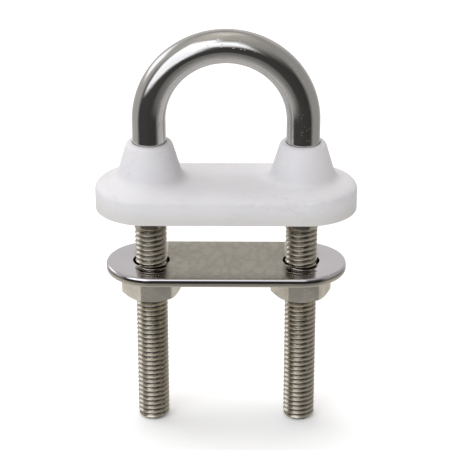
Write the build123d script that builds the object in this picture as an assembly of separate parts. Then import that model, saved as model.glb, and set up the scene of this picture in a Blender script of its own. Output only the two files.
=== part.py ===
from build123d import *
import math
import os

# Pad eye: a U-bolt that passes through a plastic deck base, with a backing plate and two nuts below
# the deck. Millimetres. The origin is the centre of the base's underside, which is the deck face.
# +Z points up to the eye, and X runs along the line through the two legs.

# U-bolt
ROD_DIA = 8.0                # polished bar
LEG_SPACING = 36.5           # between the axes of the two legs
CROWN_HEIGHT = 22.0          # deck face up to the centre of the crown's half ring
LEG_BELOW_DECK = 57.4        # deck face down to the ends of the legs
SHANK_BELOW_DECK = 5.2       # plain bar below the deck face, before the thread starts
THREAD_UNDERSIZE = 0.24      # the thread's crests lie this much inside the bar, on the diameter
THREAD_RUN_OUT = 0.3         # length of the cone from the bar down to the thread
LEG_END_CHAMFER = 1.2

# Base
BASE_END = 13.15             # a leg's axis out to the end of the base
BASE_WIDTH = 24.5
BASE_WALL = 5.0              # upright side wall
EDGE_RISE = 2.2              # the rounded upper edge, upwards from the wall
EDGE_RUN = 4.0               # the rounded upper edge, inwards from the wall
COLLAR_TOP = 16.6            # deck face up to the collars' mouths
COLLAR_WALL = 1.25           # plastic round the bore at the mouth
COLLAR_TAPER = 16.5          # degrees from upright
COLLAR_FILLET = 2.0          # collar into slab
LIP_FILLET = 0.9             # outer edge of the mouth
BASE_CLEARANCE = 0.15        # radial, round a leg
SEALANT_BEVEL = 1.8          # countersink round each leg in the underside, for bedding compound

# Backing plate
DECK_GAP = 14.4              # deck face down to the plate's upper face
PLATE_END = 10.95            # a leg's axis out to the end of the plate
PLATE_WIDTH = 22.4
PLATE_THICKNESS = 2.3
PLATE_EDGE = 0.5             # rounding of the upper edge
PLATE_UNDER_EDGE = 0.6       # rounding of the lower edge
PLATE_CLEARANCE = 0.45       # radial, round a leg

# Nuts, hexagonal, for the 8 mm thread with a pitch of 1.25
NUT_ACROSS_FLATS = 13.0
NUT_HEIGHT = 6.5
NUT_FACE_DIA = 11.8          # round flat face inside the chamfer, at the top and at the bottom
NUT_CHAMFER = 30             # degrees, from both faces out to the corners
NUT_CLEARANCE = 0.05         # radial, over the thread's crests
NUT_LEAD_IN = 0.5            # countersink of the bore at both faces
LEFT_NUT_TURN = 12.0         # degrees that each nut stands turned about its leg
RIGHT_NUT_TURN = 5.0

# Worked out from the sizes above
ROD_RADIUS = ROD_DIA / 2
THREAD_RADIUS = ROD_RADIUS - THREAD_UNDERSIZE / 2
LEG_X = LEG_SPACING / 2
SLAB_TOP = BASE_WALL + EDGE_RISE
BASE_BORE_RADIUS = ROD_RADIUS + BASE_CLEARANCE
PLATE_TOP = -DECK_GAP
NUT_TOP = PLATE_TOP - PLATE_THICKNESS


def on_both_legs(piece):
    """The piece, which is drawn on the Z axis, once round each leg."""
    return Pos(-LEG_X, 0, 0) * piece + Pos(LEG_X, 0, 0) * piece


def turned(points):
    """A solid of revolution about Z from (radius, height) points."""
    return revolve(make_face(Plane.XZ * Polyline(*points, close=True)), Axis.Z, 360)


def u_bolt():
    """One bent bar: a half ring and two straight legs, each threaded below its plain shank."""
    shank_end = -SHANK_BELOW_DECK
    thread_start = shank_end - THREAD_RUN_OUT
    leg_end = -LEG_BELOW_DECK
    crown = (0, CROWN_HEIGHT)
    left = Line((-LEG_X, shank_end), (-LEG_X, CROWN_HEIGHT))
    bend = CenterArc(crown, LEG_X, 180, -180)
    right = Line((LEG_X, CROWN_HEIGHT), (LEG_X, shank_end))
    path = Plane.XZ * Wire([left, bend, right])
    bar = sweep(Plane((-LEG_X, 0, shank_end)) * Circle(ROD_RADIUS), path)
    thread = turned([
        (0, shank_end),
        (ROD_RADIUS, shank_end),
        (THREAD_RADIUS, thread_start),
        (THREAD_RADIUS, leg_end + LEG_END_CHAMFER),
        (THREAD_RADIUS - LEG_END_CHAMFER, leg_end),
        (0, leg_end),
    ])
    return bar + on_both_legs(thread)


def slab():
    """The base's round-ended slab, with an upright wall and a softly rounded upper edge."""
    half_width = BASE_WIDTH / 2
    end_centre = LEG_X + BASE_END - half_width
    edge_start = half_width - EDGE_RUN
    half_outline = [
        Polyline((0, SLAB_TOP), (0, 0), (half_width, 0), (half_width, BASE_WALL)),
        EllipticalCenterArc((edge_start, BASE_WALL), EDGE_RUN, EDGE_RISE, 0, arc_size=90),
        Line((edge_start, SLAB_TOP), (0, SLAB_TOP)),
    ]
    half_section = make_face(half_outline)
    end = revolve(Plane.XZ * half_section, Axis.Z, 360)
    section = Plane.YZ * (half_section + mirror(half_section, Plane.YZ))
    middle = extrude(section, end_centre, both=True)
    return middle + Pos(-end_centre, 0, 0) * end + Pos(end_centre, 0, 0) * end


def collar():
    """One tapered collar on the Z axis, from the top of the slab's wall up to its mouth."""
    mouth = BASE_BORE_RADIUS + COLLAR_WALL
    foot = mouth + (COLLAR_TOP - BASE_WALL) * math.tan(math.radians(COLLAR_TAPER))
    return turned([(0, BASE_WALL), (foot, BASE_WALL), (mouth, COLLAR_TOP), (0, COLLAR_TOP)])


def base():
    """Moulded plastic base: the slab, a collar round each leg, the bores and their countersinks."""
    plain = slab()
    collars = on_both_legs(collar())
    body = plain + collars
    body = fillet(new_edges(plain, collars, combined=body), COLLAR_FILLET)
    mouths = body.edges().filter_by(GeomType.CIRCLE).group_by(Axis.Z)[-1]
    body = fillet(mouths, LIP_FILLET)
    bore = turned([
        (0, 0),
        (BASE_BORE_RADIUS + SEALANT_BEVEL, 0),
        (BASE_BORE_RADIUS, SEALANT_BEVEL),
        (BASE_BORE_RADIUS, COLLAR_TOP),
        (0, COLLAR_TOP),
    ])
    return body - on_both_legs(bore)


def backing_plate():
    """Round-ended steel plate with a hole for each leg and rounded edges."""
    length = LEG_SPACING + 2 * PLATE_END
    blank = extrude(SlotOverall(length, PLATE_WIDTH), -PLATE_THICKNESS)
    blank = fillet(blank.edges().group_by(Axis.Z)[-1], PLATE_EDGE)
    blank = fillet(blank.edges().group_by(Axis.Z)[0], PLATE_UNDER_EDGE)
    hole = extrude(Circle(ROD_RADIUS + PLATE_CLEARANCE), -PLATE_THICKNESS)
    return Pos(0, 0, PLATE_TOP) * (blank - on_both_legs(hole))


def nut():
    """One hexagonal nut with its upper face at Z 0 and two of its flats facing front and back."""
    corner_radius = NUT_ACROSS_FLATS / 2 / math.cos(math.radians(30))
    face_radius = NUT_FACE_DIA / 2
    drop = (corner_radius - face_radius) * math.tan(math.radians(NUT_CHAMFER))
    hexagon = extrude(RegularPolygon(corner_radius, 6), -NUT_HEIGHT)
    envelope = turned([
        (0, 0),
        (face_radius, 0),
        (corner_radius, -drop),
        (corner_radius, drop - NUT_HEIGHT),
        (face_radius, -NUT_HEIGHT),
        (0, -NUT_HEIGHT),
    ])
    bore_radius = THREAD_RADIUS + NUT_CLEARANCE
    bore = turned([
        (0, 0),
        (bore_radius + NUT_LEAD_IN, 0),
        (bore_radius, -NUT_LEAD_IN),
        (bore_radius, NUT_LEAD_IN - NUT_HEIGHT),
        (bore_radius + NUT_LEAD_IN, -NUT_HEIGHT),
        (0, -NUT_HEIGHT),
    ])
    return (hexagon & envelope) - bore


def placed_nut(leg_x, turn):
    """A nut against the plate's underside, on the leg at leg_x."""
    return Pos(leg_x, 0, NUT_TOP) * Rot(0, 0, turn) * nut()


NODES = {
    "u_bolt": u_bolt(),
    "base": base(),
    "backing_plate": backing_plate(),
    "left_nut": placed_nut(-LEG_X, LEFT_NUT_TURN),
    "right_nut": placed_nut(LEG_X, RIGHT_NUT_TURN),
}

os.makedirs("parts", exist_ok=True)
for name, shape in NODES.items():
    export_step(shape, f"parts/{name}.step")
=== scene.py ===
import math

import bmesh
import bpy
from bpy.props import FloatProperty, FloatVectorProperty, IntProperty, PointerProperty
from mathutils import Matrix, Vector


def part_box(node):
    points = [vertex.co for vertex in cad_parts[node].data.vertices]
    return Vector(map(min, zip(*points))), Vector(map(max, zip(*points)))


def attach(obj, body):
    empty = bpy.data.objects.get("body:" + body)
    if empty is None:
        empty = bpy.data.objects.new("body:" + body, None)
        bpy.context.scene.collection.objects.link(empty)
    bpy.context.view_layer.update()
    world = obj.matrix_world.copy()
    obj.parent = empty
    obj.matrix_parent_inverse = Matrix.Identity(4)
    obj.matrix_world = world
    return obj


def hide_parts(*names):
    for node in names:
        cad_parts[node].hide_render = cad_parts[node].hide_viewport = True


bl_info = {
    "name": "Pad eye",
    "version": (1, 0, 0),
    "blender": (4, 5, 0),
    "location": "3D view > Sidebar > Pad eye",
    "description": "Models a U-bolt pad eye with its deck base, backing plate and nuts",
    "category": "Add Mesh",
}

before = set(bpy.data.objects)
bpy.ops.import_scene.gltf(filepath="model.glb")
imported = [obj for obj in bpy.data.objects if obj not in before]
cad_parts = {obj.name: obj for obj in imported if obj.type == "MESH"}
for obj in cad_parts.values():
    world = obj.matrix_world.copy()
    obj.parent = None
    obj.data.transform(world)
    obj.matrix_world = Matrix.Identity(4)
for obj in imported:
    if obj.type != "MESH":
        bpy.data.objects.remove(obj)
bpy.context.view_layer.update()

MM = 0.001
BAR_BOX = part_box("u_bolt")
BASE_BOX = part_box("base")
PLATE_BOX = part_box("backing_plate")
NUT_BOXES = {"left_nut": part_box("left_nut"), "right_nut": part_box("right_nut")}
BAR_RADIUS = BAR_BOX[1][1]                      # the bar is centred on the XZ plane
LEG_X = BAR_BOX[1][0] - BAR_RADIUS
CROWN_Z = BAR_BOX[1][2] - BAR_RADIUS - LEG_X    # centre of the half ring
LEG_END_Z = BAR_BOX[0][2]
STRAIGHT = "straightened"                       # attribute with the bar's shape pulled straight


# ---------------------------------------------------------------------------------------------
# Sizes and colours that a user would change
# ---------------------------------------------------------------------------------------------

def length(name, description, default):
    """A length property, given in metres."""
    return FloatProperty(name=name, description=description, default=default, min=0.0,
                         precision=5, unit="LENGTH", subtype="DISTANCE")


def colour(name, description, default):
    """A colour property."""
    return FloatVectorProperty(name=name, description=description, default=default, size=3,
                               min=0.0, max=1.0, subtype="COLOR")


def angle(name, description, degrees):
    """An angle property, given here in degrees."""
    return FloatProperty(name=name, description=description, default=math.radians(degrees),
                         unit="ROTATION", subtype="ANGLE")


class PadEyeBar(bpy.types.PropertyGroup):
    """Sizes and finish of the bent bar and its threads."""
    crest_radius: length("Thread crest radius", "Outer radius of the threads", 3.88 * MM)
    pitch: length("Thread pitch", "Rise of the thread in one turn", 1.25 * MM)
    depth: length("Thread depth", "Crest to root", 0.70 * MM)
    shank: length("Shank", "Plain bar below the deck face", 5.2 * MM)
    polish_end: length("End of polish", "Depth below the deck face where the polish ends", 0.5 * MM)
    end_chamfer: length("End chamfer", "Rounding of the leg ends", 1.2 * MM)
    steel: colour("Steel", "Polished bar", (0.56, 0.55, 0.53))
    thread_steel: colour("Thread steel", "Rolled threads", (0.385, 0.352, 0.29))


class PadEyeBase(bpy.types.PropertyGroup):
    """Sizes and finish of the moulded base."""
    wall: length("Side wall", "Height of the upright side wall", 5.0 * MM)
    edge_rise: length("Edge rise", "Upward size of the rounded upper edge", 2.2 * MM)
    edge_run: length("Edge run", "Inward size of the rounded upper edge", 4.0 * MM)
    mouth_radius: length("Mouth radius", "Outside of a collar at its mouth", 5.40 * MM)
    flare: length("Flare", "Radius of the curve from a collar into the slab", 2.6 * MM)
    bore_gap: length("Bore gap", "Clearance round a leg", 0.10 * MM)
    taper: angle("Taper", "Collar wall from upright", 16.5)
    plastic: colour("Plastic", "White moulded plastic", (0.675, 0.662, 0.678))


class PadEyePlate(bpy.types.PropertyGroup):
    """Sizes and finish of the backing plate."""
    hole_gap: length("Hole gap", "Clearance round a leg", 0.45 * MM)
    hole_edge: length("Hole edge", "Broken edges of the holes", 0.15 * MM)
    upper_edge: length("Upper edge", "Rounding of the upper edge", 0.62 * MM)
    lower_edge: length("Lower edge", "Rounding of the lower edge", 0.70 * MM)
    steel: colour("Steel", "Polished sheet", (0.665, 0.645, 0.675))
    warm_steel: colour("Dappled steel", "Steel between the holes", (0.46, 0.433, 0.375))
    edge_steel: colour("Edge steel", "Dull broken zone of the edge", (0.74, 0.69, 0.60))


class PadEyeNut(bpy.types.PropertyGroup):
    """Sizes and finish of the nuts."""
    across_flats: length("Across flats", "Width over two flats", 13.0 * MM)
    face_radius: length("Face radius", "Round flat face inside the chamfer", 5.9 * MM)
    thread_gap: length("Thread gap", "Clearance over the leg's thread", 0.05 * MM)
    left_turn: angle("Left nut", "Turn of the left nut about its leg", 12.0)
    right_turn: angle("Right nut", "Turn of the right nut about its leg", 5.0)
    steel: colour("Steel", "Satin steel", (0.89, 0.825, 0.715))


class PadEyeStage(bpy.types.PropertyGroup):
    """Camera, floor and light."""
    distance: length("Camera distance", "Camera to its target", 431.8 * MM)
    target_x: FloatProperty(name="Target X", description="Sideways place of the camera's target",
                            default=-0.29 * MM, precision=5, unit="LENGTH")
    target_z: FloatProperty(name="Target Z", description="Height of the camera's target",
                            default=-5.14 * MM, precision=5, unit="LENGTH")
    lens: FloatProperty(name="Lens", description="Focal length in mm on a 36 mm sensor",
                        default=142.8, min=1.0)
    elevation: angle("Elevation", "Camera above the horizon", 24.04)
    azimuth: angle("Azimuth", "Camera to the right of straight in front", 0.59)
    roll: angle("Roll", "Camera about its own axis", -0.06)
    floor: colour("Floor", "Pale floor", (0.95, 0.95, 0.95))
    segments: IntProperty(name="Segments", description="Sides round the bar", default=64, min=16)


# ---------------------------------------------------------------------------------------------
# Shaders
# ---------------------------------------------------------------------------------------------

class Value:
    """A number that varies over a surface. Arithmetic on it adds Math nodes."""

    def __init__(self, finish, socket):
        self.finish = finish
        self.socket = socket

    def _math(self, operation, *terms):
        values = dict(enumerate(terms))
        return self.finish.node("ShaderNodeMath", {"operation": operation}, values).value()

    def __add__(self, other):
        return self._math("ADD", self, other)

    def __sub__(self, other):
        return self._math("SUBTRACT", self, other)

    def __rsub__(self, other):
        return self._math("SUBTRACT", other, self)

    def __mul__(self, other):
        return self._math("MULTIPLY", self, other)

    __radd__ = __add__
    __rmul__ = __mul__

    def absolute(self):
        return self._math("ABSOLUTE", self)

    def most(self, other):
        return self._math("MAXIMUM", self, other)

    def arcsine(self):
        return self._math("ARCSINE", self)

    def angle_to(self, other):
        """The angle whose tangent is this over other, in radians."""
        return self._math("ARCTAN2", self, other)

    def between(self, low, high):
        """0 at low and below, 1 at high and above, and a soft step between them."""
        settings = {"interpolation_type": "SMOOTHSTEP"}
        values = {"Value": self, "From Min": low, "From Max": high, "To Min": 0.0, "To Max": 1.0}
        return self.finish.node("ShaderNodeMapRange", settings, values).value()


class Node:
    """A shader node and the way to its outputs."""

    def __init__(self, finish, node):
        self.finish = finish
        self.node = node

    def value(self, output=0):
        return Value(self.finish, self.node.outputs[output])

    def out(self, output=0):
        return self.node.outputs[output]


class Finish:
    """A material or a world under construction, from its name to its output."""

    def __init__(self, name, kind="materials"):
        self.made = getattr(bpy.data, kind).new(name)
        self.made.use_nodes = True
        self.tree = self.made.node_tree
        self.tree.nodes.clear()

    def node(self, kind, settings=None, values=None):
        """Adds a node, sets its settings and then the values or links of its sockets."""
        node = self.tree.nodes.new(kind)
        for name, setting in (settings or {}).items():
            setattr(node, name, setting)
        for name, value in (values or {}).items():
            socket = node.inputs[name]
            if isinstance(value, Value):
                value = value.socket
            if isinstance(value, bpy.types.NodeSocket):
                self.tree.links.new(value, socket)
            else:
                socket.default_value = value
        return Node(self, node)

    def place(self):
        """The surface point in the object's own frame."""
        return self.node("ShaderNodeTexCoord").out("Object")

    def straightened(self):
        """The point where it would lie if the bent bar were pulled straight along Z."""
        return self.node("ShaderNodeAttribute", {"attribute_name": STRAIGHT}).out("Vector")

    def stretched(self, vector, scale):
        """The vector with each axis scaled, which stretches a pattern along the small ones."""
        return self.node("ShaderNodeMapping", None, {"Vector": vector, "Scale": scale}).out()

    def axis(self, vector, name):
        """The vector's X, Y or Z."""
        return self.node("ShaderNodeSeparateXYZ", None, {"Vector": vector}).value(name)

    def level(self, x, y):
        """A vector of this x and y, with no z."""
        return self.node("ShaderNodeCombineXYZ", None, {"X": x, "Y": y}).out()

    def from_axis(self, x, y):
        """The distance from the Z axis of a point at this x and y."""
        values = {0: self.level(x, y)}
        return self.node("ShaderNodeVectorMath", {"operation": "LENGTH"}, values).value("Value")

    def shifted(self, vector, x, y):
        """The vector moved sideways by x and y."""
        values = {0: vector, 1: self.level(x, y)}
        return self.node("ShaderNodeVectorMath", {"operation": "ADD"}, values).out()

    def noise(self, vector, scale, detail=3.0, roughness=0.5, distortion=0.0):
        """Cloudy noise around 0.5, with scale in features per metre."""
        values = {"Vector": vector, "Scale": scale, "Detail": detail, "Roughness": roughness,
                  "Distortion": distortion}
        return self.node("ShaderNodeTexNoise", {"noise_dimensions": "3D"}, values).value("Fac")

    def cells(self, vector, scale, feature="F1"):
        """Distance to the middles or edges of irregular cells, with scale in cells per metre."""
        values = {"Vector": vector, "Scale": scale}
        return self.node("ShaderNodeTexVoronoi", {"feature": feature}, values).value("Distance")

    def mix(self, mask, low, high):
        """The colour low where the mask is 0 and high where it is 1."""
        values = {"Factor": mask, 6: rgba(low), 7: rgba(high)}
        return self.node("ShaderNodeMix", {"data_type": "RGBA"}, values).out(2)

    def bump(self, height, distance):
        """A bump of this height times distance, in metres."""
        values = {"Height": height, "Distance": distance, "Strength": 1.0}
        return self.node("ShaderNodeBump", None, values).out()

    def finished(self, **values):
        """Closes the material with a Principled surface and returns it."""
        named = {name.replace("_", " "): value for name, value in values.items()}
        surface = self.node("ShaderNodeBsdfPrincipled", None, named)
        self.node("ShaderNodeOutputMaterial", None, {"Surface": surface.out()})
        return self.made


def rgba(value):
    """A colour with its alpha, or the socket it was given."""
    if isinstance(value, bpy.types.NodeSocket):
        return value
    return (*value, 1.0)


def shade(value, factor):
    """A colour made darker or lighter."""
    return tuple(min(1.0, channel * factor) for channel in value)


def polished_bar_finish(settings):
    """Polished stainless bar: hairlines along it, slight waves, clouds, fine grit and nicks."""
    finish = Finish("polished_bar")
    straight = finish.straightened()
    hairlines = finish.noise(finish.stretched(straight, (1.0, 1.0, 0.03)), 3600.0, 4.0, 0.6)
    waves = finish.noise(finish.stretched(straight, (1.0, 1.0, 0.3)), 520.0, 3.0, 0.5)
    clouds = finish.noise(straight, 170.0, 4.0, 0.55)
    spots = finish.cells(finish.stretched(straight, (1.0, 1.0, 0.5)), 1500.0).between(0.06, 0.24)
    worn = finish.noise(straight, 75.0, 2.0).between(0.38, 0.58)
    nicks = (1.0 - spots) * worn
    steel = finish.mix(clouds.between(0.35, 0.7), settings.steel, shade(settings.steel, 0.9))
    steel = finish.mix(hairlines.between(0.35, 0.65) * 0.5, steel, shade(settings.steel, 1.12))
    grit = finish.noise(straight, 2600.0, 3.0, 0.7)
    steel = finish.mix(grit.between(0.54, 0.80), steel, shade(settings.steel, 1.22))
    steel = finish.mix(nicks * 0.5, steel, shade(settings.steel, 0.78))
    roughness = clouds * 0.08 + hairlines * 0.06 + nicks * 0.34
    height = hairlines * 1.8 + waves * 5.0 - nicks * 3.0
    return finish.finished(Base_Color=steel, Metallic=1.0, Roughness=roughness,
                           Normal=finish.bump(height, 0.006 * MM))


def thread_finish(settings):
    """Rolled threads: duller and browner than the bar, with painted shade in the roots and painted
    highlights on the crests.
    """
    finish = Finish("rolled_thread")
    straight = finish.straightened()
    across = finish.from_axis(finish.axis(straight, "X"), finish.axis(straight, "Y"))
    crest = across.between(settings.crest_radius - settings.depth, settings.crest_radius)
    clouds = finish.noise(straight, 900.0, 4.0, 0.6)
    grain = finish.noise(finish.stretched(straight, (1.0, 1.0, 4.0)), 2600.0, 3.0)
    # Painted shade in the thread roots and a painted highlight on the crests, blended by the distance
    # from the axis.
    root_painted_shade = shade(settings.thread_steel, 0.32)
    crest_painted_highlight = shade(settings.thread_steel, 1.50)
    steel = finish.mix(crest, root_painted_shade, crest_painted_highlight)
    steel = finish.mix(clouds.between(0.45, 0.75), steel, settings.thread_steel)
    roughness = 0.20 - crest * 0.10 + grain * 0.06
    height = clouds * 0.6 + grain * 0.4
    return finish.finished(Base_Color=steel, Metallic=1.0, Roughness=roughness,
                           Normal=finish.bump(height, 0.015 * MM))


def moulded_plastic_finish(settings):
    """Satin white plastic: a fine moulded skin, thin scuffs, small dents and painted shade on the
    lower wall.
    """
    finish = Finish("moulded_white")
    place = finish.place()
    skin = finish.noise(place, 3200.0, 3.0, 0.6)
    waves = finish.noise(place, 90.0, 3.0, 0.5)
    smears = finish.noise(finish.stretched(place, (0.5, 1.0, 1.6)), 260.0, 6.0, 0.72, 0.6)
    grime = smears.between(0.58, 0.72)
    contour = finish.noise(finish.stretched(place, (0.7, 1.0, 1.5)), 150.0, 2.0, 0.5, 2.0)
    handled = finish.noise(place, 75.0, 2.0).between(0.52, 0.60)
    scuffs = (1.0 - (contour - 0.5).absolute().between(0.002, 0.011)) * handled
    dents = 1.0 - finish.cells(place, 190.0).between(0.0, 0.12)
    # Painted shade: the plastic is made darker towards the bottom of the side wall.
    low = 1.0 - finish.axis(place, "Z").between(0.0, settings.wall)
    white = finish.mix(waves.between(0.35, 0.65), settings.plastic, shade(settings.plastic, 0.965))
    aged = (settings.plastic[0] * 0.93, settings.plastic[1] * 0.90, settings.plastic[2] * 0.84)
    dull = (settings.plastic[0] * 0.86, settings.plastic[1] * 0.84, settings.plastic[2] * 0.80)
    lower_wall_shade = (settings.plastic[0] * 0.84, settings.plastic[1] * 0.825, settings.plastic[2] * 0.77)
    white = finish.mix(low * 0.8, white, lower_wall_shade)
    # The random smears are dirt; their extra weight on the lower wall is painted shade.
    white = finish.mix(grime * 0.35 + grime * low * 0.4, white, aged)
    white = finish.mix(scuffs * 0.65, white, dull)
    roughness = 0.40 + skin * 0.10 + grime * 0.12
    height = skin * 0.35 + waves * 2.0 - dents * 3.0 - scuffs * 1.6
    return finish.finished(Base_Color=white, Roughness=roughness, IOR=1.49,
                           Subsurface_Weight=0.08, Subsurface_Scale=0.8 * MM,
                           Normal=finish.bump(height, 0.02 * MM))


def polished_plate_finish(settings):
    """Polished sheet with a dappled middle, a broken edge with a painted dark reflection line above
    it, and painted shade on the hole walls.
    """
    finish = Finish("polished_plate")
    place = finish.place()
    sideways = finish.axis(place, "X").absolute()
    middle = 1.0 - sideways.between(LEG_X - 4.0 * MM, LEG_X - 3.5 * MM)
    warp = finish.noise(place, 380.0, 3.0)
    bent = finish.shifted(place, warp * 1.6 * MM, warp * 2.6 * MM)
    spread = finish.stretched(bent, (1.0, 0.5, 0.0))
    dapple = finish.cells(spread, 370.0, "DISTANCE_TO_EDGE")
    seams = 1.0 - dapple.between(0.0, 0.27)
    clouds = finish.noise(place, 700.0, 4.0, 0.6)
    fine = finish.noise(finish.stretched(place, (1.0, 0.25, 1.0)), 2400.0, 4.0)
    top = finish.axis(finish.node("ShaderNodeNewGeometry").out("Normal"), "Z").between(0.7, 0.95)
    dappled = middle * top
    depth = PLATE_BOX[1][2] - finish.axis(place, "Z") + (warp - 0.5) * 0.2 * MM
    # Painted reflection: a dark band painted just below the upper rounding of the edge.
    painted_dark_line = depth.between(settings.upper_edge * 0.9, settings.upper_edge)
    broken = depth.between(settings.upper_edge + 0.45 * MM, settings.upper_edge + 0.60 * MM)
    from_leg = finish.from_axis(sideways - LEG_X, finish.axis(place, "Y"))
    hole_radius = BAR_RADIUS + settings.hole_gap
    hole = 1.0 - from_leg.between(hole_radius, hole_radius + 0.03 * MM)
    grey = finish.mix(seams * (0.25 + clouds.between(0.34, 0.60) * 0.75), settings.warm_steel,
                      shade(settings.warm_steel, 0.84))
    steel = finish.mix(dappled, settings.steel, grey)
    steel = finish.mix(painted_dark_line, steel, shade(settings.edge_steel, 0.40))
    steel = finish.mix(broken, steel, settings.edge_steel)
    # Painted shade: the walls of the holes are painted nearly black.
    steel = finish.mix(hole, steel, shade(settings.edge_steel, 0.15))
    roughness = 0.03 + fine * 0.05 + dappled * (0.20 + clouds * 0.16) + broken * 0.38
    height = fine * 0.1 + dappled * dapple.between(0.0, 0.4) * 1.2
    return finish.finished(Base_Color=steel, Metallic=1.0, Roughness=roughness,
                           Normal=finish.bump(height, 0.010 * MM))


def satin_nut_finish(settings):
    """Satin steel with an upright grain and soft clouds."""
    finish = Finish("satin_nut")
    place = finish.place()
    grain = finish.noise(finish.stretched(place, (1.0, 1.0, 0.2)), 3000.0, 4.0, 0.6)
    clouds = finish.noise(place, 330.0, 4.0, 0.6)
    steel = finish.mix(clouds.between(0.35, 0.7), settings.steel, shade(settings.steel, 0.82))
    roughness = 0.20 + grain * 0.12 + clouds * 0.07
    height = grain * 0.6 + clouds * 0.6
    return finish.finished(Base_Color=steel, Metallic=0.84, Roughness=roughness,
                           Normal=finish.bump(height, 0.015 * MM))


def floor_finish(settings):
    """Plain pale floor, with the faintest unevenness."""
    finish = Finish("pale_floor")
    clouds = finish.noise(finish.place(), 6.0, 2.0)
    pale = finish.mix(clouds, settings.floor, shade(settings.floor, 0.99))
    return finish.finished(Base_Color=pale, Roughness=0.9, Specular_IOR_Level=0.2,
                           Emission_Color=rgba(settings.floor), Emission_Strength=0.18)


def ramp(value, low, high):
    """A soft step from 0 to 1 between two angles in degrees."""
    return value.between(math.radians(low), math.radians(high))


def window(value, low, high, soft):
    """1 where the angle lies from low to high, in degrees, with edges this soft."""
    return ramp(value, low - soft, low + soft) * (1.0 - ramp(value, high - soft, high + soft))


def studio_world():
    """Warm grey room with soft boxes on the left, a shaded front and a pale back wall.

    Azimuth is 0 straight in front of the object, towards -Y, and grows towards +X.
    """
    finish = Finish("studio", "worlds")
    direction = finish.node("ShaderNodeTexCoord").out("Generated")
    x, y, z = (finish.axis(direction, name) for name in "XYZ")
    azimuth = x.angle_to(0.0 - y)
    elevation = z.arcsine()
    back = ramp(azimuth.absolute(), 118, 165)
    left = 1.0 - ramp(azimuth, -50, 50)
    overhead = ramp(elevation, 48, 80)
    room = 0.44 + left * (1.0 - back) * 0.14 + back * 0.28 + overhead * (0.22 + back * 0.12)
    room = room - back * window(elevation, 38, 56, 5) * 0.26
    floor_side = 1.0 - ramp(elevation, -50, -25)
    room = room * (1.0 - floor_side) + floor_side * 0.62
    front = window(azimuth, -76, 59, 13) * ramp(elevation, -37, -22)
    front = front * (1.0 - ramp(elevation, 8, 52))
    near_floor = window(azimuth, -42, 62, 24) * ramp(elevation, -80, -36)
    near_floor = near_floor * (1.0 - ramp(elevation, -36, -22))
    room = room * (1.0 - front * 0.87) * (1.0 - near_floor * 0.55)
    key_box = window(azimuth, -62, -10, 7) * window(elevation, 0, 58, 5)
    key_wing = window(azimuth, -16, 15, 7) * window(elevation, 17, 44, 9)
    side_box = window(azimuth, -139, -104, 7) * window(elevation, 10, 34, 6)
    boxes = key_box.most(key_wing) * 1.55 + side_box * 1.2
    strength = room + boxes
    tint = finish.mix(overhead, (1.0, 0.98, 0.955), (1.0, 0.95, 0.88))
    tint = finish.mix(boxes.between(0.0, 1.0), tint, (0.96, 0.98, 1.03))
    glow = finish.node("ShaderNodeBackground", None, {"Color": tint, "Strength": strength})
    finish.node("ShaderNodeOutputWorld", None, {"Surface": glow.out()})
    return finish.made


# ---------------------------------------------------------------------------------------------
# Mesh work
# ---------------------------------------------------------------------------------------------

def outline(bm, points):
    """A chain of edges through (x, z) points in the XZ plane. Returns its vertices and edges."""
    verts = [bm.verts.new((x, 0.0, z)) for x, z in points]
    edges = [bm.edges.new(pair) for pair in zip(verts, verts[1:])]
    return verts + edges


def arc(centre, radii, start, end, steps):
    """(x, z) points on an ellipse's arc, from start to end in degrees."""
    points = []
    for step in range(steps + 1):
        turn = math.radians(start + (end - start) * step / steps)
        points.append((centre[0] + radii[0] * math.cos(turn), centre[1] + radii[1] * math.sin(turn)))
    return points


def revolved(points, segments, centre=(0.0, 0.0, 0.0)):
    """A closed solid of revolution about Z from (radius, height) points that start and end on Z."""
    bm = bmesh.new()
    bmesh.ops.spin(bm, geom=outline(bm, points), cent=(0, 0, 0), axis=(0, 0, 1),
                   angle=math.tau, steps=segments, use_merge=True)
    bmesh.ops.translate(bm, vec=centre, verts=bm.verts)
    return cleaned(bm)


def cleaned(bm, distance=1e-7):
    """Merges doubles and points the faces outwards."""
    bmesh.ops.remove_doubles(bm, verts=bm.verts, dist=distance)
    bmesh.ops.recalc_face_normals(bm, faces=bm.faces)
    return bm


def piece(name, bm, *materials):
    """Makes an object of the mesh, smooth-shaded, with its materials."""
    for face in bm.faces:
        face.smooth = True
    mesh = bpy.data.meshes.new(name)
    bm.to_mesh(mesh)
    bm.free()
    for material in materials:
        mesh.materials.append(material)
    made = bpy.data.objects.new(name, mesh)
    bpy.context.scene.collection.objects.link(made)
    return made


def joined(bm, other):
    """Adds the other mesh to this one."""
    loose = bpy.data.meshes.new("loose")
    other.to_mesh(loose)
    other.free()
    bm.from_mesh(loose)
    bpy.data.meshes.remove(loose)


def with_modifier(bm, kind, **settings):
    """The mesh after one modifier. A tool mesh is given as tool=bmesh."""
    body = piece("body", bm)
    tool = settings.pop("tool", None)
    modifier = body.modifiers.new(kind.lower(), kind)
    if tool is not None:
        tool = piece("tool", tool)
        settings["object"] = tool
        settings["solver"] = "EXACT"
    for name, setting in settings.items():
        setattr(modifier, name, setting)
    graph = bpy.context.evaluated_depsgraph_get()
    result = bmesh.new()
    result.from_object(body, graph)
    for thing in (body, tool):
        if thing is not None:
            mesh = thing.data
            bpy.data.objects.remove(thing)
            bpy.data.meshes.remove(mesh)
    return result


def sharp_where(bm, degrees):
    """Keeps the edges that turn more than this crisp."""
    limit = math.radians(degrees)
    for edge in bm.edges:
        if len(edge.link_faces) == 2:
            edge.smooth = edge.calc_face_angle(0.0) < limit


def bevelled(bm, edges, offset, segments):
    bmesh.ops.bevel(bm, geom=edges, offset=offset, offset_type="OFFSET", segments=segments,
                    profile=0.5, affect="EDGES", material=-1)


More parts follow.
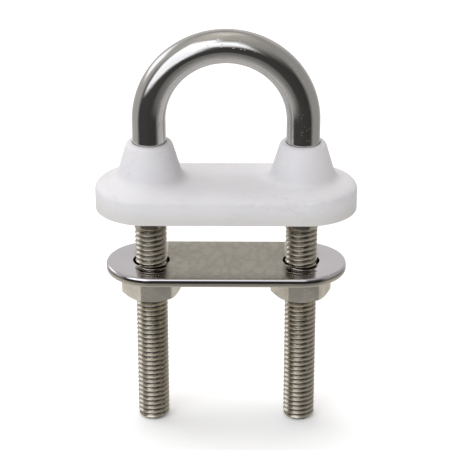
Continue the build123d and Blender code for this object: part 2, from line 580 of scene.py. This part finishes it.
def thread_points(crest, pitch, depth):
    """(radius, height) points over one pitch, from the middle of one crest to the next."""
    flank = depth * math.tan(math.radians(30))
    crest_half = pitch / 16
    soft = 0.05 * MM
    root = crest - depth
    root_half = pitch / 2 - crest_half - flank
    half = [
        (crest, 0.0),
        (crest - 0.2 * soft, crest_half),
        (crest - soft, crest_half + soft),
        (root + soft, pitch / 2 - root_half - 0.3 * soft),
        (root, pitch / 2),
    ]
    return half + [(radius, pitch - height) for radius, height in reversed(half[:-1])]


def threaded_rod(settings, low, high, gap=0.0, segments=48):
    """A closed right-handed threaded rod on the Z axis, from low to high, gap larger all round."""
    bm = bmesh.new()
    pitch = settings.pitch
    first = math.floor(low / pitch) - 2
    turns = math.ceil(high / pitch) + 1 - first
    points = thread_points(settings.crest_radius + gap, pitch, settings.depth)
    points = [(radius, height + first * pitch) for radius, height in points]
    bmesh.ops.spin(bm, geom=outline(bm, points), cent=(0, 0, 0), axis=(0, 0, 1),
                   dvec=(0, 0, pitch / segments), angle=math.tau, steps=segments)
    bm = with_modifier(bm, "ARRAY", count=turns, use_relative_offset=False,
                       use_constant_offset=True, constant_offset_displace=(0, 0, pitch),
                       use_merge_vertices=True, merge_threshold=1e-6)
    cleaned(bm, 1e-6)
    for height, side in ((low, -1), (high, 1)):
        everything = bm.verts[:] + bm.edges[:] + bm.faces[:]
        bmesh.ops.bisect_plane(bm, geom=everything, plane_co=(0, 0, height),
                               plane_no=(0, 0, side), clear_outer=True)
    return bm


def rim(bm, height):
    """The open edges at this height."""
    return [edge for edge in bm.edges if edge.is_boundary
            and all(abs(vert.co.z - height) < 1e-6 for vert in edge.verts)]


def threaded_leg(settings, x):
    """One leg's thread, from its run-out at the plain shank to its chamfered end."""
    top = -settings.shank
    bm = threaded_rod(settings, LEG_END_Z, top)
    run_out = 0.6 * settings.pitch
    for vert in bm.verts:
        radius = math.hypot(vert.co.x, vert.co.y)
        rise = min(1.0, max(0.0, (vert.co.z - top + run_out) / run_out))
        wanted = radius + (BAR_RADIUS - radius) * rise * rise * (3 - 2 * rise)
        above_end = max(0.0, vert.co.z - LEG_END_Z)
        rounded = min(above_end, settings.end_chamfer)
        chord = max(0.0, rounded * (2 * settings.end_chamfer - rounded))
        inset = settings.end_chamfer - math.sqrt(chord)
        wanted = min(wanted, settings.crest_radius - inset)
        vert.co.x *= wanted / radius
        vert.co.y *= wanted / radius
    bmesh.ops.edgeloop_fill(bm, edges=rim(bm, LEG_END_Z))
    for vert in bm.verts:
        vert.co.x += x
    return bm


def bent_bar(settings, segments):
    """The polished half ring and its two plain shanks, open at their lower ends."""
    bm = bmesh.new()
    ring = bmesh.ops.create_circle(bm, segments=segments, radius=BAR_RADIUS,
                                   matrix=Matrix.Translation((-LEG_X, 0, CROWN_Z)))
    ends = [list({edge for vert in ring["verts"] for edge in vert.link_edges})]
    bend = bmesh.ops.spin(bm, geom=ring["verts"] + ends[0], cent=(0, 0, CROWN_Z), axis=(0, 1, 0),
                          angle=math.pi, steps=128)
    ends.append([item for item in bend["geom_last"] if isinstance(item, bmesh.types.BMEdge)])
    below = settings.polish_end
    for edges in ends:
        for drop in (CROWN_Z + below, settings.shank - 2 * below, below):
            grown = bmesh.ops.extrude_edge_only(bm, edges=edges)["geom"]
            verts = [item for item in grown if isinstance(item, bmesh.types.BMVert)]
            edges = [item for item in grown if isinstance(item, bmesh.types.BMEdge)
                     and all(vert in verts for vert in item.verts)]
            bmesh.ops.translate(bm, vec=(0, 0, -drop), verts=verts)
    return bm


def straightened_place(point):
    """Where a point of the bent bar would lie if the bar were pulled straight along Z."""
    if point.z <= CROWN_Z:
        side = -1.0 if point.x < 0 else 1.0
        along = LEG_X * math.pi / 2 + CROWN_Z - point.z
        return Vector((side * point.x - LEG_X, point.y, side * along))
    turn = math.atan2(point.x, point.z - CROWN_Z)
    out = math.hypot(point.x, point.z - CROWN_Z) - LEG_X
    return Vector((out, point.y, turn * LEG_X))


def u_bolt_mesh(settings, segments):
    """The whole bent bar with its threads, as one closed surface."""
    bm = bent_bar(settings, segments)
    for x in (-LEG_X, LEG_X):
        joined(bm, threaded_leg(settings, x))
    top = -settings.shank
    for side in (-1, 1):
        edges = [edge for edge in rim(bm, top) if edge.verts[0].co.x * side > 0]
        bmesh.ops.bridge_loops(bm, edges=edges)
    bmesh.ops.recalc_face_normals(bm, faces=bm.faces)
    layer = bm.verts.layers.float_vector.new(STRAIGHT)
    for vert in bm.verts:
        vert[layer] = straightened_place(vert.co)
    for face in bm.faces:
        face.material_index = int(face.calc_center_median().z < -settings.polish_end)
    return bm


def slab_mesh(settings):
    """The base's slab, reaching a little below the deck face so that it can be cut off square."""
    half_width = BASE_BOX[1][1]
    end_x = BASE_BOX[1][0] - half_width
    top = settings.wall + settings.edge_rise
    below = -1.5 * MM
    edge_start = half_width - settings.edge_run
    bm = bmesh.new()
    points = [(0.0, below), (half_width, below), (half_width, settings.wall)]
    points += arc((edge_start, settings.wall), (settings.edge_run, settings.edge_rise), 0, 90, 16)[1:]
    points += [(0.0, top)]
    start = outline(bm, points)
    bmesh.ops.rotate(bm, cent=(0, 0, 0), matrix=Matrix.Rotation(math.pi / 2, 3, "Z"),
                     verts=bm.verts)
    bmesh.ops.translate(bm, vec=(-end_x, 0, 0), verts=bm.verts)
    bend = bmesh.ops.spin(bm, geom=start, cent=(-end_x, 0, 0), axis=(0, 0, 1),
                          angle=math.pi, steps=48)
    for edges in (start, bend["geom_last"]):
        edges = [item for item in edges if isinstance(item, bmesh.types.BMEdge)]
        grown = bmesh.ops.extrude_edge_only(bm, edges=edges)["geom"]
        verts = [item for item in grown if isinstance(item, bmesh.types.BMVert)]
        bmesh.ops.translate(bm, vec=(end_x, 0, 0), verts=verts)
    bmesh.ops.mirror(bm, geom=bm.verts[:] + bm.edges[:] + bm.faces[:], axis="X", merge_dist=1e-6)
    return cleaned(bm, 1e-6)


def collar_mesh(settings, x):
    """One tapered collar with a soft lip and a flare that runs out onto the slab."""
    top = BASE_BOX[1][2]
    slab_top = settings.wall + settings.edge_rise
    slope = math.tan(settings.taper)
    lip = 0.8 * MM
    tilt = math.degrees(settings.taper)
    foot = settings.mouth_radius + (top - slab_top) * slope
    reach = settings.flare * math.tan((math.pi / 2 - settings.taper) / 2)
    flare_centre = (foot + reach, slab_top + settings.flare)
    setback = lip * math.tan((math.pi / 2 - settings.taper) / 2)
    lip_centre = (settings.mouth_radius - setback, top - lip)
    points = [(0.0, 1.0 * MM), (flare_centre[0], 1.0 * MM), (flare_centre[0], slab_top)]
    points += arc(flare_centre, (settings.flare, settings.flare), 270, 180 + tilt, 10)[1:]
    points += arc(lip_centre, (lip, lip), tilt, 90, 8)
    points += [(0.0, top)]
    return revolved(points, 96, (x, 0, 0))


def bore_mesh(settings, x):
    """The cutter for one leg's bore, bevelled at the deck face and broken at the mouth."""
    top = BASE_BOX[1][2]
    radius = BAR_RADIUS + settings.bore_gap
    bevel = 1.8 * MM
    broken = 0.06 * MM
    points = [(0.0, -1.0 * MM), (radius + bevel + 1.0 * MM, -1.0 * MM), (radius, bevel),
              (radius, top - broken), (radius + broken + 1.0 * MM, top + 1.0 * MM),
              (0.0, top + 1.0 * MM)]
    return revolved(points, 96, (x, 0, 0))


def base_mesh(settings):
    """The moulded base: slab and collars melted together, cut square underneath and bored."""
    bm = slab_mesh(settings)
    for x in (-LEG_X, LEG_X):
        bm = with_modifier(bm, "BOOLEAN", operation="UNION", tool=collar_mesh(settings, x))
    bm = with_modifier(bm, "REMESH", mode="VOXEL", voxel_size=0.27 * MM)
    smoothing_passes = 9
    for _ in range(smoothing_passes):
        bmesh.ops.smooth_vert(bm, verts=bm.verts, factor=0.5, use_axis_x=True,
                              use_axis_y=True, use_axis_z=True)
    cut = bmesh.ops.bisect_plane(bm, geom=bm.verts[:] + bm.edges[:] + bm.faces[:],
                                 plane_co=(0, 0, 0), plane_no=(0, 0, -1), clear_outer=True)
    edges = [item for item in cut["geom_cut"] if isinstance(item, bmesh.types.BMEdge)]
    bmesh.ops.edgeloop_fill(bm, edges=edges)
    for x in (-LEG_X, LEG_X):
        bm = with_modifier(bm, "BOOLEAN", operation="DIFFERENCE", tool=bore_mesh(settings, x))
    cleaned(bm)
    sharp_where(bm, 35)
    return bm


def plate_mesh(settings):
    """Round-ended plate with rounded upper and lower edges and two holes with broken edges."""
    low, high = PLATE_BOX
    half_width = high[1]
    end_x = high[0] - half_width
    sides = 96
    bm = bmesh.new()
    hole = bmesh.ops.create_circle(bm, segments=sides, radius=BAR_RADIUS + settings.hole_gap,
                                   matrix=Matrix.Translation((LEG_X, 0, high[2])))
    hole_edges = list({edge for vert in hole["verts"] for edge in vert.link_edges})
    corner = bm.verts.new((0, -half_width, high[2]))
    start = bm.verts.new((end_x, -half_width, high[2]))
    straight = bm.edges.new((corner, start))
    bend = bmesh.ops.spin(bm, geom=[start], cent=(end_x, 0, 0), axis=(0, 0, 1),
                          angle=math.pi, steps=sides // 2)
    last = [item for item in bend["geom_last"] if isinstance(item, bmesh.types.BMVert)][0]
    far = bm.verts.new((0, half_width, high[2]))
    spine = bm.edges.new((last, far))
    cross = bm.edges.new((far, corner))
    cuts = sides // 12
    bmesh.ops.subdivide_edges(bm, edges=[straight, spine, cross], cuts=cuts)
    rim_edges = [edge for edge in bm.edges if edge not in set(hole_edges)]
    bmesh.ops.bridge_loops(bm, edges=hole_edges + rim_edges)
    bmesh.ops.mirror(bm, geom=bm.verts[:] + bm.edges[:] + bm.faces[:], axis="X", merge_dist=1e-6)
    bmesh.ops.remove_doubles(bm, verts=bm.verts, dist=1e-6)
    bmesh.ops.recalc_face_normals(bm, faces=bm.faces)
    grown = bmesh.ops.extrude_face_region(bm, geom=bm.faces[:])["geom"]
    verts = [item for item in grown if isinstance(item, bmesh.types.BMVert)]
    bmesh.ops.translate(bm, vec=(0, 0, low[2] - high[2]), verts=verts)
    cleaned(bm)
    in_hole = (BAR_RADIUS + settings.hole_gap) * 1.05
    upper, lower, broken = [], [], []
    for edge in bm.edges:
        if edge.calc_face_angle(0.0) < math.radians(60):
            continue
        middle = (edge.verts[0].co + edge.verts[1].co) / 2
        inner = math.hypot(abs(middle.x) - LEG_X, middle.y) < in_hole
        (broken if inner else lower if middle.z < high[2] - 1e-6 else upper).append(edge)
    for edges, offset, segments in ((upper, settings.upper_edge, 6), (lower, settings.lower_edge, 6),
                                    (broken, settings.hole_edge, 2)):
        bevelled(bm, [edge for edge in edges if edge.is_valid], offset, segments)
    cleaned(bm)
    sharp_where(bm, 40)
    return bm


def nut_mesh(settings, thread, node, turn):
    """A chamfered hexagon nut with a cut thread, on its own leg."""
    low, high = NUT_BOXES[node]
    x = -LEG_X if high[0] < 0 else LEG_X
    height = high[2] - low[2]
    face = settings.face_radius
    corner = settings.across_flats / 2 / math.cos(math.radians(30))
    bm = bmesh.new()
    bmesh.ops.create_circle(bm, cap_ends=True, segments=6, radius=corner)
    grown = bmesh.ops.extrude_face_region(bm, geom=bm.faces[:])["geom"]
    verts = [item for item in grown if isinstance(item, bmesh.types.BMVert)]
    bmesh.ops.translate(bm, vec=(0, 0, height), verts=verts)
    cleaned(bm)
    bmesh.ops.rotate(bm, cent=(0, 0, 0), verts=bm.verts,
                     matrix=Matrix.Rotation(math.radians(30) + turn, 3, "Z"))
    upright = [edge for edge in bm.edges if abs(edge.verts[0].co.z - edge.verts[1].co.z) > height / 2]
    bevelled(bm, upright, 0.22 * MM, 3)
    beyond = corner + 1.0 * MM
    beyond_drop = (beyond - face) * math.tan(math.radians(30))
    cone = [(0.0, 0.0), (face, 0.0), (beyond, beyond_drop), (beyond, height - beyond_drop),
            (face, height), (0.0, height)]
    bm = with_modifier(bm, "BOOLEAN", operation="INTERSECT", tool=revolved(cone, 120))
    lead = thread.crest_radius + 0.35 * MM
    root = thread.crest_radius - thread.depth
    depth = lead - root
    countersinks = [(0.0, -0.5 * MM), (lead + 0.5 * MM, -0.5 * MM), (root, depth), (0.0, depth)]
    bm = with_modifier(bm, "BOOLEAN", operation="DIFFERENCE", tool=revolved(countersinks, 96))
    upper = [(radius, height - level) for radius, level in countersinks]
    bm = with_modifier(bm, "BOOLEAN", operation="DIFFERENCE", tool=revolved(upper, 96))
    bmesh.ops.translate(bm, vec=(0, 0, low[2]), verts=bm.verts)
    ends = (low[2] - 0.3 * MM, high[2] + 0.3 * MM)
    cutter = threaded_rod(thread, *ends, settings.thread_gap)
    for level in ends:
        bmesh.ops.edgeloop_fill(cutter, edges=rim(cutter, level))
    cleaned(cutter)
    bm = with_modifier(bm, "BOOLEAN", operation="DIFFERENCE", tool=cutter)
    bmesh.ops.translate(bm, vec=(x, 0, 0), verts=bm.verts)
    cleaned(bm)
    sharp_where(bm, 25)
    return bm


# ---------------------------------------------------------------------------------------------
# Operators
# ---------------------------------------------------------------------------------------------

def stand_for(made, node):
    """Lets a finished piece ride on its body in place of its plain node."""
    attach(made, node)
    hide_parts(node)


class PADEYE_OT_u_bolt(bpy.types.Operator):
    """Model the bent bar with its rolled threads"""
    bl_idname = "padeye.u_bolt"
    bl_label = "U-bolt"

    def execute(self, context):
        settings = context.scene.padeye_bar
        bm = u_bolt_mesh(settings, context.scene.padeye_stage.segments)
        made = piece("bent_bar", bm, polished_bar_finish(settings), thread_finish(settings))
        stand_for(made, "u_bolt")
        return {"FINISHED"}


class PADEYE_OT_base(bpy.types.Operator):
    """Model the moulded base with its two collars"""
    bl_idname = "padeye.base"
    bl_label = "Deck base"

    def execute(self, context):
        settings = context.scene.padeye_base
        made = piece("deck_base", base_mesh(settings), moulded_plastic_finish(settings))
        stand_for(made, "base")
        return {"FINISHED"}


class PADEYE_OT_plate(bpy.types.Operator):
    """Model the polished backing plate"""
    bl_idname = "padeye.plate"
    bl_label = "Backing plate"

    def execute(self, context):
        settings = context.scene.padeye_plate
        made = piece("under_deck_plate", plate_mesh(settings), polished_plate_finish(settings))
        stand_for(made, "backing_plate")
        return {"FINISHED"}


class PADEYE_OT_nuts(bpy.types.Operator):
    """Model the two hexagon nuts with their cut threads"""
    bl_idname = "padeye.nuts"
    bl_label = "Nuts"

    def execute(self, context):
        settings = context.scene.padeye_nut
        thread = context.scene.padeye_bar
        finish = satin_nut_finish(settings)
        for node, turn in (("left_nut", settings.left_turn), ("right_nut", settings.right_turn)):
            made = piece("hex_" + node, nut_mesh(settings, thread, node, turn), finish)
            stand_for(made, node)
        return {"FINISHED"}


def add_light(name, place, target, size, power):
    """A soft rectangular light at place, facing target."""
    data = bpy.data.lights.new(name, "AREA")
    data.shape = "RECTANGLE"
    data.size, data.size_y = size
    data.energy = power
    lamp = bpy.data.objects.new(name, data)
    lamp.location = place
    lamp.rotation_euler = (Vector(target) - Vector(place)).to_track_quat("-Z", "Y").to_euler()
    bpy.context.scene.collection.objects.link(lamp)
    return lamp


def flat_stage(name, size, matrix, material):
    """A flat rectangle with its material, placed by the matrix."""
    bm = bmesh.new()
    bmesh.ops.create_grid(bm, x_segments=1, y_segments=1, size=0.5)
    bmesh.ops.scale(bm, vec=(size[0], size[1], 1.0), verts=bm.verts)
    bmesh.ops.transform(bm, matrix=matrix, verts=bm.verts)
    made = piece(name, bm, material)
    return made


class PADEYE_OT_stage(bpy.types.Operator):
    """Set up the camera, the pale floor and the soft light"""
    bl_idname = "padeye.stage"
    bl_label = "Stage"

    def execute(self, context):
        settings = context.scene.padeye_stage
        self.add_camera(context, settings)
        floor = flat_stage("floor", (6.0, 6.0), Matrix.Translation((0, 0, LEG_END_Z)),
                           floor_finish(settings))
        floor.visible_glossy = False
        key = add_light("key", place=(-0.08, 0.10, 0.78), target=(0, 0, 0), size=(0.50, 0.50),
                        power=3.5)
        key.visible_glossy = False
        context.scene.world = studio_world()
        context.scene.view_settings.view_transform = "Standard"
        return {"FINISHED"}

    @staticmethod
    def add_camera(context, settings):
        data = bpy.data.cameras.new("camera")
        data.sensor_width = 36.0
        data.lens = settings.lens
        data.clip_start = 0.01
        data.dof.use_dof = False
        camera = bpy.data.objects.new("camera", data)
        target = Vector((settings.target_x, 0, settings.target_z))
        back = Vector((math.sin(settings.azimuth) * math.cos(settings.elevation),
                       -math.cos(settings.azimuth) * math.cos(settings.elevation),
                       math.sin(settings.elevation)))
        camera.location = target + back * settings.distance
        turn = (-back).to_track_quat("-Z", "Y").to_matrix()
        camera.rotation_euler = (turn @ Matrix.Rotation(settings.roll, 3, "Z")).to_euler()
        context.scene.collection.objects.link(camera)
        context.scene.camera = camera


class PADEYE_PT_panel(bpy.types.Panel):
    """Buttons and sizes of the pad eye"""
    bl_idname = "PADEYE_PT_panel"
    bl_label = "Pad eye"
    bl_space_type = "VIEW_3D"
    bl_region_type = "UI"
    bl_category = "Pad eye"

    def draw(self, context):
        for group, operator in GROUPS:
            box = self.layout.box()
            box.operator(operator.bl_idname)
            settings = getattr(context.scene, group)
            for name in settings.__annotations__:
                box.prop(settings, name)


GROUPS = (
    ("padeye_bar", PADEYE_OT_u_bolt),
    ("padeye_base", PADEYE_OT_base),
    ("padeye_plate", PADEYE_OT_plate),
    ("padeye_nut", PADEYE_OT_nuts),
    ("padeye_stage", PADEYE_OT_stage),
)
SETTINGS = {
    "padeye_bar": PadEyeBar,
    "padeye_base": PadEyeBase,
    "padeye_plate": PadEyePlate,
    "padeye_nut": PadEyeNut,
    "padeye_stage": PadEyeStage,
}


def register():
    for group, kind in SETTINGS.items():
        bpy.utils.register_class(kind)
        setattr(bpy.types.Scene, group, PointerProperty(type=kind))
    for _, operator in GROUPS:
        bpy.utils.register_class(operator)
    bpy.utils.register_class(PADEYE_PT_panel)


def unregister():
    bpy.utils.unregister_class(PADEYE_PT_panel)
    for _, operator in reversed(GROUPS):
        bpy.utils.unregister_class(operator)
    for group, kind in reversed(SETTINGS.items()):
        delattr(bpy.types.Scene, group)
        bpy.utils.unregister_class(kind)


def main():
    """Builds the pad eye and its stage."""
    register()
    bpy.ops.padeye.stage()
    bpy.ops.padeye.u_bolt()
    bpy.ops.padeye.base()
    bpy.ops.padeye.plate()
    bpy.ops.padeye.nuts()


if __name__ == "__main__":
    main()
